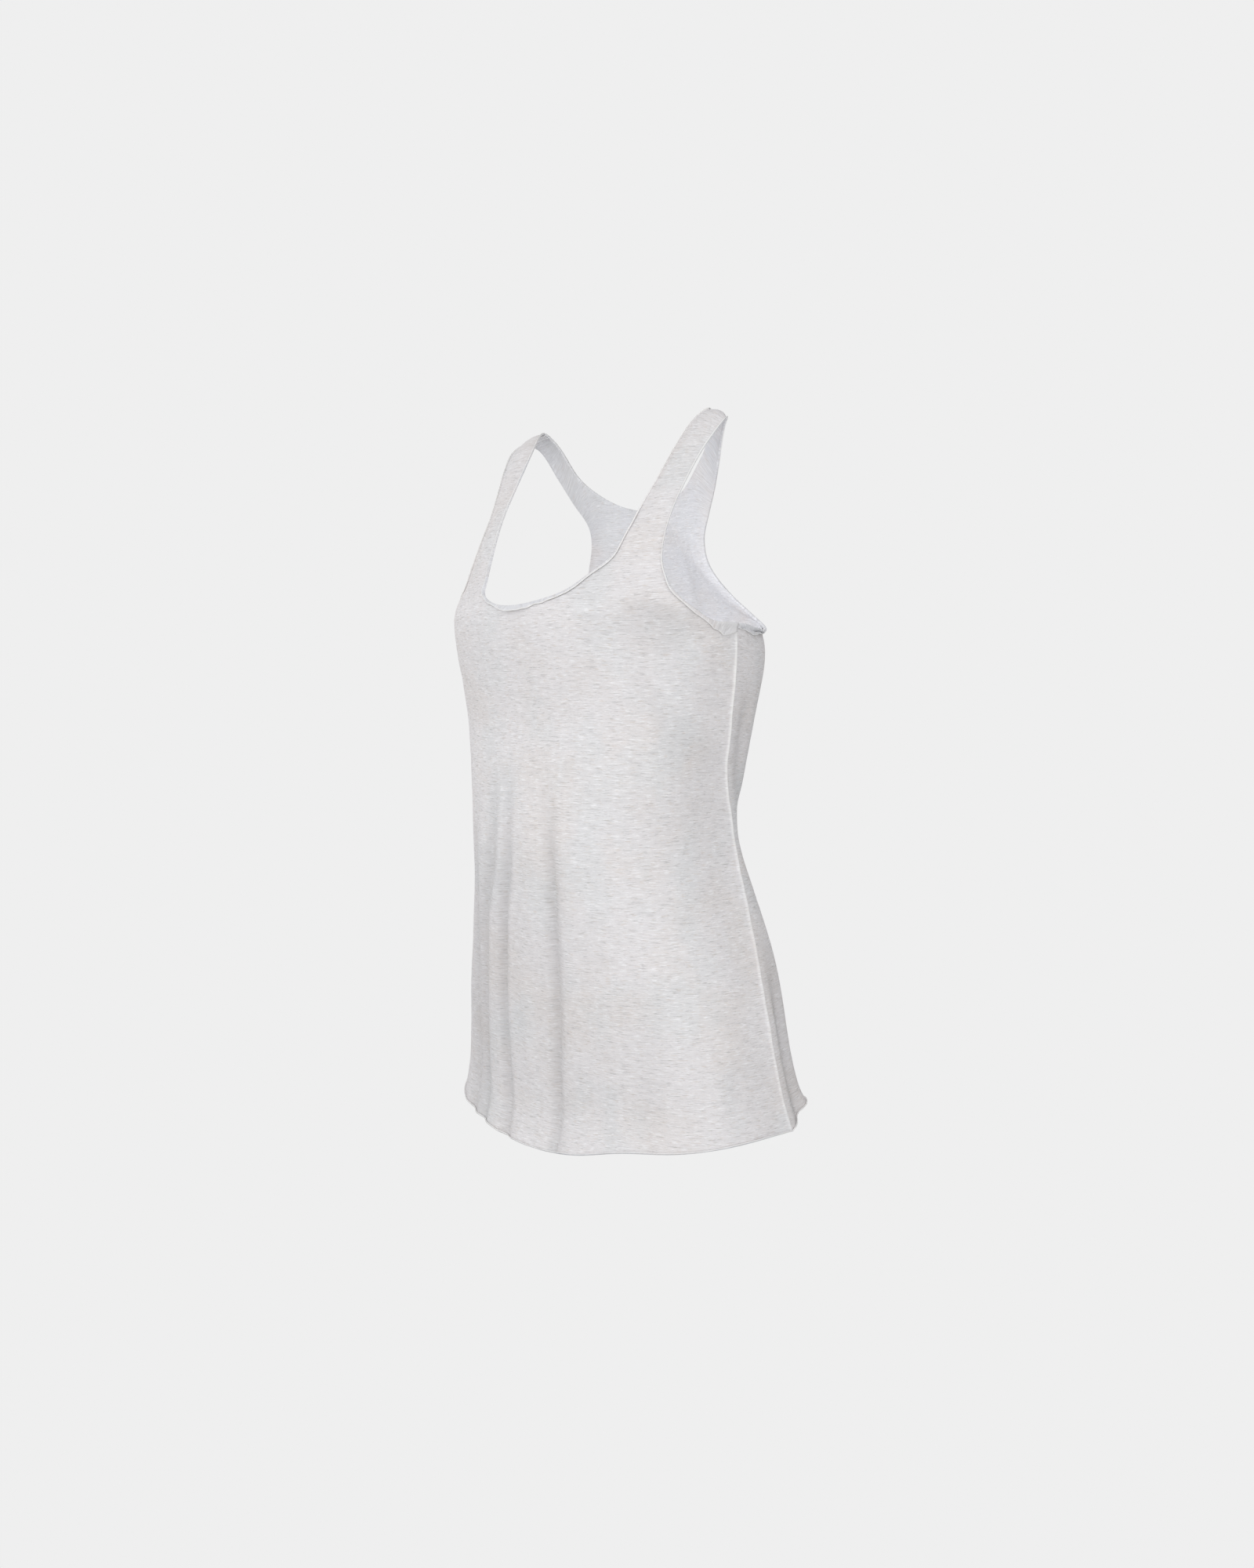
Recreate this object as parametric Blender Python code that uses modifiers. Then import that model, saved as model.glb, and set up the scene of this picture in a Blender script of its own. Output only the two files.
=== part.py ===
# A racer-back tank top in light jersey, in the hollow form that it has when it is worn.
#
# Frame: metres, +Z up. The front faces -Y and the wearer's left side is +X. The origin lies
# midway between the two shoulder seams, level with the tops of the straps.
#
# Each panel is a loft of rows, from the hem up to the shoulder seam. A row runs from the
# centre line (above the neck: from the neck edge) out to the side seam (above the armhole: to
# the armhole edge). Its shape is an arc of a superellipse between those two end points, and
# the end points themselves follow smooth curves through the tables below.

import math

import bpy
import numpy as np

MM = 0.001

WALL = 1.4 * MM                 # thickness of the jersey wall
SEAM_GAP = 0.3 * MM             # between the two panels, at the side and shoulder seams

SPLITS_PER_STATION = 2          # rows of faces between two stations of the tables
SPLITS_AT_SHOULDER = 5          # the same, over the bend at the strap tops
SHOULDER_CROWDING = 2.0         # above 1 those rows crowd towards the shoulder seam
COLUMNS_PER_HALF = 18
COLUMN_CROWDING = 1.25          # above 1 the columns crowd towards the centre line

LEVEL_FADE = 2                  # stations below the armhole over which rows begin to end level
NECK_FADE = 3                   # stations above the neck over which rows become straight ramps

LIFT_START = 0.45               # where across the back the lifted stretch of the hem begins
LIFT_POWER = 1.5

QUARTER_TURN = 90.0             # degrees from a centre line to the side seam
NEAR_QUARTER = 89.999
CHORD_STEP = 0.25               # stations to either side over which a strap's run is measured
MERGE_DISTANCE = 0.01 * MM

# Stations of the torso, hem first. The side seam's point is shared by both panels.
#   seam_x seam_y seam_z     the side seam
#   front_y front_z          the front's centre line
#   back_y back_z            the back's centre line
#   front_full back_full     superellipse exponents: 2 is an ellipse, more is boxier
#   back_lift                how far the back's row rises between its centre and the seam
TORSO_COLUMNS = ("seam_x", "seam_y", "seam_z", "front_y", "front_z",
                 "back_y", "back_z", "front_full", "back_full", "back_lift")
TORSO = (
    (189, 18, -636, -118, -663, 97, -638, 2.4, 2.5, 15),
    (184, 13, -611, -109, -632, 91, -611, 2.5, 2.5, 5),
    (178, 9, -578, -110, -595, 88, -578, 2.5, 2.5, 0),
    (169, 6, -530, -116, -540, 86, -530, 2.5, 2.5, 0),
    (156, 7, -480, -124, -487, 81, -480, 2.5, 2.5, 0),
    (140, 9, -427, -134, -430, 62, -426, 2.5, 2.5, 0),
    (131, 3, -374, -140, -376, 38, -374, 2.5, 2.6, 0),
    (137, -12, -322, -134, -324, 54, -322, 2.5, 2.8, 0),
    (147, -18, -268, -128, -273, 64, -268, 2.5, 2.8, 0),
    (155, -22, -222, -137, -227, 73, -222, 2.4, 2.8, 0),
    (156, -25, -196, -146, -199, 75, -198, 2.3, 2.8, 0),
)

# Stations above the side seam, up to the shoulder seam, which both panels share.
#   in_x in_y in_z       the centre line, then the neck edge
#   out_x out_y out_z    the armhole edge
#   in_turn out_turn     where on the superellipse the row starts and ends, in degrees from
#                        the centre line
#   full                 the superellipse exponent
#   crown                how far the middle of the strap stands proud of a flat one
TOP_COLUMNS = ("in_x", "in_y", "in_z", "out_x", "out_y", "out_z",
               "in_turn", "out_turn", "full", "crown")
FRONT_TOP = (
    (0, -147, -186, 155, -43, -193, 0, 83, 2.3, 0),
    (0, -147, -172, 152, -61, -187, 0, 76, 2.3, 0),
    (30, -141, -168, 146, -79, -175, 8, 67, 2.3, 0),
    (54, -128, -159, 138, -87, -161, 17, 60, 2.2, 0),
    (70, -111, -143, 131, -86, -148, 23, 51, 2.2, 0),
    (81, -98, -129, 125, -83, -130, 27, 46, 2.4, 0),
    (87, -86, -108, 122, -74, -106, 27, 42, 2.4, 1),
    (91, -74, -87, 122, -63, -84, 27, 40, 2.4, 1),
    (95, -58, -63, 125, -52, -63, 27, 40, 2.4, 1),
    (98, -42, -39, 130, -40, -41, 27, 40, 2.4, 1),
    (102, -25, -15, 135, -27, -22, 28, 40, 2.4, 2),
    (106, -14, -3, 135, -18, -13, 28, 40, 2.4, 3),
    (109, -5, 1, 131, -9, -8, 29, 40, 2.4, 3),
)
BACK_TOP = (
    (0, 73, -184, 155, -8, -193, 0, 81, 2.8, 0),
    (0, 69, -168, 152, 11, -190, 0, 74, 2.8, 0),
    (0, 62, -149, 140, 33, -185, 0, 62, 2.8, 0),
    (0, 52, -126, 121, 37, -177, 0, 50, 2.8, 0),
    (0, 40, -101, 102, 34, -162, 0, 38, 2.8, 0),
    (0, 30, -79, 86, 29, -144, 0, 31, 2.8, 0),
    (20, 28, -76, 77, 25, -126, 8, 30, 2.8, 0),
    (38, 24, -70, 74, 25, -106, 14, 30, 2.8, 0),
    (57, 19, -60, 79, 25, -87, 20, 30, 2.8, 0),
    (77, 12, -44, 92, 18, -66, 24, 32, 2.6, 0),
    (95, 9, -24, 106, 9, -40, 27, 36, 2.5, 2),
    (106, 4, -7, 120, 0, -14, 29, 40, 2.4, 3),
    (109, -5, 1, 131, -9, -8, 29, 40, 2.4, 3),
)

# The largest folds of each panel. A fold runs between two points, seen square on; it is a
# trough where its depth is negative and a ridge where it is positive.
#   top_x top_z low_x low_z    its two ends
#   depth half_width           at its middle
#   top_fade low_fade          the shares of its length over which it rises and dies away
FOLD_COLUMNS = ("top_x", "top_z", "low_x", "low_z", "depth", "half_width",
                "top_fade", "low_fade")
FRONT_FOLDS = (
    (40, -370, 35, -690, -4.5, 13, 0.45, 0.0),
    (14, -330, 12, -700, 2.5, 15, 0.35, 0.0),
    (-42, -325, -32, -690, -3.5, 13, 0.35, 0.0),
    (62, -430, 66, -700, 2.5, 22, 0.45, 0.0),
    (52, -225, 128, -375, 3.5, 17, 0.35, 0.35),
    (-58, -228, -126, -370, 3.0, 17, 0.35, 0.35),
)
BACK_FOLDS = (
    (-30, -400, -36, -680, -4.5, 16, 0.4, 0.0),
    (34, -380, 41, -680, -4.0, 16, 0.45, 0.0),
    (3, -330, 4, -680, 3.0, 18, 0.4, 0.0),
    (118, -285, 40, -330, 3.5, 13, 0.4, 0.5),
    (-118, -300, -36, -350, 3.0, 14, 0.4, 0.5),
)

CLOTH_COLOUR = (0.70, 0.70, 0.71, 1.0)
CLOTH_ROUGHNESS = 0.95
COLLECTION_NAME = "tank_top"

FRONT, BACK = "front", "back"
OUTWARD = {FRONT: -1.0, BACK: 1.0}          # the sign of Y on each panel's outer side
SEAM_STATION = len(TORSO) - 1               # the last station on the side seam
LAST_STATION = len(TORSO) + len(FRONT_TOP) - 1


def columns(names, rows):
    """A table as arrays, one for each named column."""
    return dict(zip(names, np.array(rows, dtype=float).T))


def points(table, prefix):
    """Three columns of a table as points in metres."""
    return np.stack([table[prefix + axis] for axis in ("_x", "_y", "_z")], axis=-1) * MM


def stations(side):
    """A panel's inner and outer end points and row shapes, at every station."""
    torso = columns(TORSO_COLUMNS, TORSO)
    top = columns(TOP_COLUMNS, FRONT_TOP if side == FRONT else BACK_TOP)
    zeros = np.zeros(len(TORSO))
    centre = np.stack([zeros, torso[side + "_y"], torso[side + "_z"]], axis=-1) * MM
    shape = {
        "inner": np.vstack([centre, points(top, "in")]),
        "outer": np.vstack([points(torso, "seam"), points(top, "out")]),
        "in_turn": np.concatenate([zeros, top["in_turn"]]),
        "out_turn": np.concatenate([zeros + QUARTER_TURN, top["out_turn"]]),
        "full": np.concatenate([torso[side + "_full"], top["full"]]),
        "crown": np.concatenate([zeros, top["crown"]]) * MM,
        "lift": np.zeros(LAST_STATION + 1),
    }
    if side == BACK:
        shape["lift"][:len(TORSO)] = torso["back_lift"] * MM
    return shape


def spline(knots, at, before, after):
    """A Catmull-Rom curve through the knots, with a phantom knot before and after them."""
    held = np.vstack([before, knots, after])
    at = np.clip(at, 0.0, len(knots) - 1.0)
    first = np.minimum(at.astype(int), len(knots) - 2)
    u = (at - first)[:, None]
    a, b, c, d = held[first], held[first + 1], held[first + 2], held[first + 3]
    cubic = 3 * b - a - 3 * c + d
    square = 2 * a - 5 * b + 4 * c - d
    return 0.5 * (2 * b + (c - a) * u + square * u ** 2 + cubic * u ** 3)


def ramp(at, start, length):
    """Rises smoothly from 0 to 1 over a length that begins at the start."""
    u = np.clip((at - start) / length, 0.0, 1.0)
    return u ** 2 * (3 - 2 * u)


def eased(values, at):
    """A smooth curve through the values that never leaves the range between two of them."""
    step = np.diff(values)
    before, after = step[:-1], step[1:]
    same_way = before * after > 0
    total = np.where(same_way, before + after, 1.0)
    inner = np.where(same_way, 2 * before * after / total, 0.0)
    slope = np.concatenate([[step[0]], inner, [step[-1]]])
    first = np.minimum(at.astype(int), len(values) - 2)
    u = at - first
    blend = u ** 2 * (3 - 2 * u)
    level = values[first] * (1 - blend) + values[first + 1] * blend
    return level + slope[first] * u * (1 - u) ** 2 - slope[first + 1] * u ** 2 * (1 - u)


def split_curve(knots, at, corner, past_corner, past_end):
    """A curve with a corner: two splines that meet at the corner station."""
    below = spline(knots[:corner + 1], at, 2 * knots[0] - knots[1],
                   2 * knots[corner] - knots[corner - 1])
    above = spline(knots[corner:], at - corner, past_corner, past_end)
    return np.where((at < corner)[:, None], below, above)


def neck_station(side):
    """The last station whose inner end lies on the centre line: the bottom of the neck."""
    return int(np.flatnonzero(stations(side)["inner"][:, 0] == 0.0)[-1])


def edges(side, at):
    """The inner and outer ends of the rows at the given station values."""
    own = stations(side)
    other = stations(BACK if side == FRONT else FRONT)
    neck = neck_station(side)
    mirrored = own["inner"][neck + 1] * (-1.0, 1.0, 1.0)
    inner = split_curve(own["inner"], at, neck, mirrored, other["inner"][-2])
    outer = split_curve(own["outer"], at, SEAM_STATION,
                        other["outer"][SEAM_STATION + 1], other["outer"][-2])
    return inner, outer


def row_values(side):
    """Station values of the rows of faces, stopping half a seam gap short of the shoulder."""
    lower = np.linspace(0, LAST_STATION - 1, (LAST_STATION - 1) * SPLITS_PER_STATION + 1)
    front, back = stations(FRONT), stations(BACK)
    run = 0.5 * np.linalg.norm(back["inner"][-2] - front["inner"][-2])
    end = LAST_STATION - 0.5 * SEAM_GAP / run
    left = np.linspace(1.0, 0.0, SPLITS_AT_SHOULDER + 1)[1:]
    upper = end - (end - LAST_STATION + 1) * left ** SHOULDER_CROWDING
    return np.concatenate([lower, upper])


def strap_out(side, at):
    """Unit vectors out of the cloth, square to the row's chord and to the way the strap runs."""
    inner, outer = edges(side, at)
    low = sum(edges(side, np.maximum(at - CHORD_STEP, 0.0)))
    high = sum(edges(side, at + CHORD_STEP))
    other = BACK if side == FRONT else FRONT
    past = at + CHORD_STEP > LAST_STATION
    past_seam = 2 * LAST_STATION - at - CHORD_STEP
    beyond = sum(edges(other, np.minimum(past_seam, LAST_STATION)))
    high = np.where(past[:, None], beyond, high)
    out = np.cross(outer - inner, high - low) * -OUTWARD[side]
    return out / np.linalg.norm(out, axis=-1, keepdims=True)


def half_panel(side, at, across):
    """The +X half of a panel on a grid: a row for each station value, a column for each share."""
    own = stations(side)
    in_turn, out_turn, full, crown, lift = (
        eased(own[name], at)[:, None]
        for name in ("in_turn", "out_turn", "full", "crown", "lift"))
    inner, outer = edges(side, at)

    # An even walk along a superellipse: the turn follows q^k / (q^k + (1-q)^k), k = full / 2.
    def walk(turn):
        ratio = (turn / (QUARTER_TURN - np.minimum(turn, NEAR_QUARTER))) ** (2.0 / full)
        return ratio / (1.0 + ratio)

    start, stop = walk(in_turn), walk(out_turn)
    stop = np.where(out_turn >= QUARTER_TURN, 1.0, stop)
    q = start + (stop - start) * across[None, :]
    rise, fall = q ** (full / 2), (1 - q) ** (full / 2)
    turn = 0.5 * math.pi * rise / (rise + fall)

    power = 2.0 / full
    sine, cosine = np.sin(turn) ** power, np.clip(np.cos(turn), 0.0, 1.0) ** power
    along_x = (sine - sine[:, :1]) / (sine[:, -1:] - sine[:, :1])
    along_y = (cosine[:, :1] - cosine) / (cosine[:, :1] - cosine[:, -1:])
    bowed = along_x ** 2
    levelled = bowed * (3 - 2 * along_x)
    above_seam = ramp(at, SEAM_STATION - LEVEL_FADE, LEVEL_FADE)[:, None]
    above_neck = ramp(at, neck_station(side), NECK_FADE)[:, None]
    along_z = bowed + (levelled - bowed) * above_seam
    along_z += (along_x - along_z) * above_neck

    share = np.stack([along_x, along_y, along_z], axis=-1)
    grid = inner[:, None] + (outer - inner)[:, None] * share
    arch = crown * 4 * across * (1 - across)
    grid += strap_out(side, at)[:, None] * arch[..., None]
    raised = np.clip((across - LIFT_START) / (1 - LIFT_START), 0.0, 1.0)
    grid[..., 2] += lift * np.sin(math.pi * raised) ** LIFT_POWER
    return grid


def outward_normals(side, grid):
    """Unit normals of the +X half's grid. Those on the centre line have no X part."""
    up = np.gradient(grid, axis=0)
    across = np.gradient(grid, axis=1)
    normal = np.cross(across, up) * -OUTWARD[side]
    normal[:, 0, 0] *= grid[:, 0, 0] > 0.5 * MM
    return normal / np.linalg.norm(normal, axis=-1, keepdims=True)


def fold_depth(folds, x, z):
    """How far the folds move the cloth outwards at the given X and Z."""
    depth = np.zeros_like(x)
    fold = columns(FOLD_COLUMNS, folds)
    for i in range(len(folds)):
        top = np.array([fold["top_x"][i], fold["top_z"][i]]) * MM
        low = np.array([fold["low_x"][i], fold["low_z"][i]]) * MM
        length = np.linalg.norm(low - top)
        way = (low - top) / length
        along = ((x - top[0]) * way[0] + (z - top[1]) * way[1]) / length
        aside = np.abs((x - top[0]) * way[1] - (z - top[1]) * way[0])
        width = fold["half_width"][i] * MM
        section = 0.5 + 0.5 * np.cos(math.pi * np.clip(aside / width, 0.0, 1.0))
        rise = np.clip(along / fold["top_fade"][i], 0.0, 1.0)
        fall = np.clip((1 - along) / max(fold["low_fade"][i], MM), 0.0, 1.0)
        ends = (rise * fall) ** 2 * (3 - 2 * rise * fall)
        depth += fold["depth"][i] * MM * section * ends
    return depth


def part_seams(side, grid):
    """Draw the side seam's column back by half the gap, away from the other panel."""
    seam_rows = SEAM_STATION * SPLITS_PER_STATION + 1
    grid[:seam_rows, -1, 1] += OUTWARD[side] * 0.5 * SEAM_GAP
    return grid


def grid_faces(rows, cols, first, flipped):
    """Quads over a grid of points whose first index is given."""
    start = (np.arange(rows - 1)[:, None] * cols + np.arange(cols - 1)[None, :]).ravel() + first
    quads = np.stack([start, start + 1, start + cols + 1, start + cols], axis=-1)
    return (quads[:, ::-1] if flipped else quads).tolist()


def cloth_material(name):
    material = bpy.data.materials.new(name)
    material.use_nodes = True
    shader = material.node_tree.nodes["Principled BSDF"]
    shader.inputs["Base Color"].default_value = CLOTH_COLOUR
    shader.inputs["Roughness"].default_value = CLOTH_ROUGHNESS
    shader.inputs["Metallic"].default_value = 0.0
    return material


def panel(name, side, folds, collection):
    """One cut piece: both halves of the loft, joined on the centre line, with a wall."""
    at = row_values(side)
    across = np.linspace(0.0, 1.0, COLUMNS_PER_HALF + 1) ** COLUMN_CROWDING
    half = part_seams(side, half_panel(side, at, across))
    normals = outward_normals(side, half)

    corners, faces = [], []
    for mirror in (1.0, -1.0):
        flip = np.array([mirror, 1.0, 1.0])
        base, out = half * flip, normals * flip
        depth = fold_depth(folds, base[..., 0], base[..., 2])
        cloth = base + out * depth[..., None]
        flipped = (mirror * OUTWARD[side]) > 0
        faces += grid_faces(len(at), len(across), len(corners) * half[..., 0].size, flipped)
        corners.append(cloth.reshape(-1, 3))

    mesh = bpy.data.meshes.new(name)
    mesh.from_pydata(np.vstack(corners).tolist(), [], faces)
    mesh.shade_smooth()
    mesh.materials.append(cloth_material(name))
    piece = bpy.data.objects.new(name, mesh)
    collection.objects.link(piece)

    weld = piece.modifiers.new("centre_line", "WELD")
    weld.merge_threshold = MERGE_DISTANCE
    wall = piece.modifiers.new("wall", "SOLIDIFY")
    wall.thickness = WALL
    wall.offset = 0.0
    return piece


def build():
    for old in list(bpy.data.objects):
        bpy.data.objects.remove(old, do_unlink=True)
    collection = bpy.data.collections.new(COLLECTION_NAME)
    bpy.context.scene.collection.children.link(collection)
    panel("front_panel", FRONT, FRONT_FOLDS, collection)
    panel("back_panel", BACK, BACK_FOLDS, collection)


build()
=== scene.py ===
import math

import bpy
import numpy as np
from mathutils import Matrix, Vector


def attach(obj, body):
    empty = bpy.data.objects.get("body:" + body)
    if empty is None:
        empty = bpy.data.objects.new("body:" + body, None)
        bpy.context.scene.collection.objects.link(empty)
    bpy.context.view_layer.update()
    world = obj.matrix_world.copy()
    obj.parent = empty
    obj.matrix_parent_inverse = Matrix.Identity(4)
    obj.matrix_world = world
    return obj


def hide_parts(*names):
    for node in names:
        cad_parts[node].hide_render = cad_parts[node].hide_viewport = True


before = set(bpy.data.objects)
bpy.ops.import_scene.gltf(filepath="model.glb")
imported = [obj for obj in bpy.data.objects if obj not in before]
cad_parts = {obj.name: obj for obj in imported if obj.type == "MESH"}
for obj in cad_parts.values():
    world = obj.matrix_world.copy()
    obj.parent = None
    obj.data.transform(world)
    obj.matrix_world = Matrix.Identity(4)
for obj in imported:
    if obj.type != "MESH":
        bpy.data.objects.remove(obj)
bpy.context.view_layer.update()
print("frame loaded:", sorted(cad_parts))

mm = 0.001
front, back = "front", "back"
outward = {front: -1.0, back: 1.0}          # the sign of Y on each panel's outer side
otherSide = {front: back, back: front}


camera = {
    "azimuth": 45.0,        # degrees round from straight in front, towards the wearer's left
    "elevation": 4.5,       # degrees above level
    "distance": 1.5,        # metres from the point it is aimed at
    "aim": (0.0, 0.0, -0.336),
    "lens": 36.24,
    "sensor": 36.0,
}


def makeCamera(look):
    # on a sphere round its aim, level with the horizon
    turn, tilt = math.radians(look["azimuth"]), math.radians(look["elevation"])
    right = Vector((math.cos(turn), math.sin(turn), 0))
    away = Vector((math.sin(turn) * math.cos(tilt), -math.cos(turn) * math.cos(tilt),
                   math.sin(tilt)))
    up = away.cross(right)
    data = bpy.data.cameras.new("camera")
    data.lens = look["lens"]
    data.sensor_width = look["sensor"]
    holder = bpy.data.objects.new("camera", data)
    bpy.context.scene.collection.objects.link(holder)
    basis = Matrix((right, up, away)).transposed().to_4x4()
    holder.matrix_world = Matrix.Translation(Vector(look["aim"]) + away * look["distance"]) @ basis
    bpy.context.scene.camera = holder


makeCamera(camera)
print("camera set")


class Wire:
    # One output socket. Sums, differences and products of wires and numbers add their Math nodes.
    def __init__(self, board, socket):
        self.board, self.socket = board, socket

    def calc(self, operation, first, second):
        return self.board.add("ShaderNodeMath", {"operation": operation}, {0: first, 1: second})

    def __add__(self, other):
        return self.calc("ADD", self, other)

    def __sub__(self, other):
        return self.calc("SUBTRACT", self, other)

    def __mul__(self, other):
        return self.calc("MULTIPLY", self, other)

    def __radd__(self, other):
        return self.calc("ADD", other, self)

    def __rsub__(self, other):
        return self.calc("SUBTRACT", other, self)

    def __rmul__(self, other):
        return self.calc("MULTIPLY", other, self)

    def step(self, low, high):
        # 0 below low, 1 above high, smooth between them
        return self.board.add("ShaderNodeMapRange", {"interpolation_type": "SMOOTHSTEP"},
                              {"Value": self, "From Min": low, "From Max": high})

    def zigzag(self, height):
        # straight up from 0 to the height and down again, over and over
        return self.calc("PINGPONG", self, height)


class Board:
    # A material's node tree. add() makes any node, from its settings and its inputs.
    def __init__(self, name):
        self.material = bpy.data.materials.new(name)
        self.material.use_nodes = True
        self.tree = self.material.node_tree
        self.shader = self.tree.nodes["Principled BSDF"]

    def plug(self, socket, value):
        # a wire becomes a link, and anything else the socket's own value
        if isinstance(value, Wire):
            self.tree.links.new(value.socket, socket)
        else:
            socket.default_value = value

    def add(self, kind, settings, inputs, output=0):
        node = self.tree.nodes.new(kind)
        for name, value in settings.items():
            setattr(node, name, value)
        for name, value in inputs.items():
            self.plug(node.inputs[name], value)
        return Wire(self, node.outputs[output])

    def mix(self, share, first, second, blend="MIX"):
        # the sockets of a colour Mix node: 0 factor, 6 and 7 the two colours, output 2
        settings = {"data_type": "RGBA", "blend_type": blend, "clamp_factor": True}
        return self.add("ShaderNodeMix", settings, {0: share, 6: first, 7: second}, output=2)

    def noise(self, place, size, detail=2.0, rough=0.5, shift=(0.0, 0.0)):
        # noise whose flecks have the given size, in metres along and across the knitted rows
        mapped = self.add("ShaderNodeMapping", {},
                          {"Vector": place, "Scale": (1 / size[0], 1 / size[1], 1.0),
                           "Location": (shift[0], shift[1], 0.0)})
        return self.add("ShaderNodeTexNoise", {"noise_dimensions": "2D"},
                        {"Vector": mapped, "Scale": 1.0, "Detail": detail, "Roughness": rough})

    def finish(self, values):
        # plugs the shader's own sockets
        for name, value in values.items():
            self.plug(self.shader.inputs[name], value)
        return self.material


# heathered single jersey
jersey = {
    "face": (0.742, 0.724, 0.735, 1.0),         # colours of the face of the cloth
    "reverse": (0.690, 0.695, 0.725, 1.0),      # and of its wrong side, a little cooler
    "fleckShare": {"face": 1.0, "reverse": 0.75},
    "bumpStrength": {"face": 0.50, "reverse": 0.15},
    # Layers of colour, the lowest first. Each has its noise's size, detail, roughness and shift,
    # the noise's values between which it goes from nothing to full, and its share when full.
    "patches": (
        ((0.720, 0.690, 0.684, 1.0), (0.085, 0.070), 3.0, 0.5, (2.0, 9.0), (0.42, 0.66), 0.75),
        ((0.700, 0.706, 0.720, 1.0), (0.060, 0.090), 3.0, 0.5, (13.0, 4.0), (0.45, 0.70), 0.70),
    ),
    "flecks": (
        ((0.90, 0.90, 0.92, 1.0), (0.0090, 0.0011), 3.0, 0.6, (23.1, 5.7), (0.52, 0.70), 0.62),
        ((0.60, 0.53, 0.47, 1.0), (0.0090, 0.0011), 2.0, 0.5, (3.7, 11.9), (0.60, 0.76), 0.45),
        ((0.33, 0.32, 0.32, 1.0), (0.0090, 0.0011), 3.0, 0.6, (0.0, 0.0), (0.56, 0.74), 0.40),
        ((0.33, 0.32, 0.32, 1.0), (0.016, 0.0013), 2.0, 0.55, (7.3, 2.1), (0.60, 0.76), 0.30),
    ),
    "bumpLayer": 2,                             # the layer of flecks that also stands proud
    "darkest": 0.875,                           # the cloth's shade where it is darkest
    "fibre": ((0.0022, 0.0005), (41.0, 17.0), 0.12),    # size, shift, and how much lighter
    "slub": ((0.034, 0.0040), (5.0, 31.0), 0.13),       # the same for long soft bands of thick yarn
    "paintedShadeStrength": 0.17,                        # how much painted shade darkens the cloth deep in a fold
    # the colour of the painted highlight on cut edges and the side seam, and its strength
    "paintedEdgeHighlight": (0.93, 0.925, 0.91, 1.0),
    "paintedHighlightShare": 0.85,
    "waleWidth": 0.0009,
    "courseHeight": 0.0007,
    "slant": 1.2,                               # how steep the legs of the V stitches are
    "bumpShares": {"fibre": 0.7, "fleck": 0.7, "wale": 0.25, "stitch": 0.30},
    "bumpDepth": 0.00022,
    "finish": {"Roughness": 0.92, "Specular IOR Level": 0.25,
               "Sheen Weight": 0.04, "Sheen Roughness": 0.5},
}


def makeJersey(side, look=jersey):
    # one side of the cloth: patches, flecks, fine shades, painted shade in the folds, painted
    # highlight on the edges, and the knit's bump
    board = Board("jersey_" + side)
    place = board.add("ShaderNodeUVMap", {"uv_map": "cloth"}, {})
    # the shares of painted highlight on the edges and of painted shade in the folds
    paintedEdgeHighlight = board.add("ShaderNodeAttribute", {"attribute_name": "paintedEdgeHighlight"}, {}, output=2)
    paintedShade = board.add("ShaderNodeAttribute", {"attribute_name": "paintedShade"}, {}, output=2)

    colour = look[side]
    for layers, part in (("patches", 1.0), ("flecks", look["fleckShare"][side])):
        for tint, size, detail, rough, shift, (low, high), share in look[layers]:
            spots = board.noise(place, size, detail, rough, shift).step(low, high)
            colour = board.mix(spots * (share * part), colour, tint)
    fibreSize, fibreShift, fibreLight = look["fibre"]
    slubSize, slubShift, slubLight = look["slub"]
    fibre = board.noise(place, fibreSize, shift=fibreShift)
    slub = board.noise(place, slubSize, shift=slubShift)
    shade = look["darkest"] + fibre * fibreLight + slub * slubLight
    # painted shade, darker deep in the folds' troughs
    shade = shade * (1.0 - paintedShade * look["paintedShadeStrength"])
    grey = board.add("ShaderNodeCombineXYZ", {}, {0: shade, 1: shade, 2: shade})
    colour = board.mix(1.0, colour, grey, blend="MULTIPLY")
    # painted highlight, cream, along the cut edges and the side seam's ridge
    colour = board.mix(paintedEdgeHighlight * look["paintedHighlightShare"], colour, look["paintedEdgeHighlight"])

    # the knit: rows of small V stitches, wales wide and courses high
    across = board.add("ShaderNodeSeparateXYZ", {}, {0: place})
    up = board.add("ShaderNodeSeparateXYZ", {}, {0: place}, output=1)
    wale = (across * (1 / look["waleWidth"])).zigzag(0.5)
    stitch = (up * (1 / look["courseHeight"]) + wale * look["slant"]).zigzag(0.5)
    fleck = board.noise(place, *look["flecks"][look["bumpLayer"]][1:5])
    parts = look["bumpShares"]
    height = (fibre * parts["fibre"] + fleck * parts["fleck"]
              + wale * parts["wale"] + stitch * parts["stitch"])
    normal = board.add("ShaderNodeBump", {}, {"Strength": look["bumpStrength"][side],
                                              "Distance": look["bumpDepth"], "Height": height})
    return board.finish({"Base Color": colour, "Normal": normal, **look["finish"]})


faceMaterial, reverseMaterial = makeJersey("face"), makeJersey("reverse")
print("jersey materials made")


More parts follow.
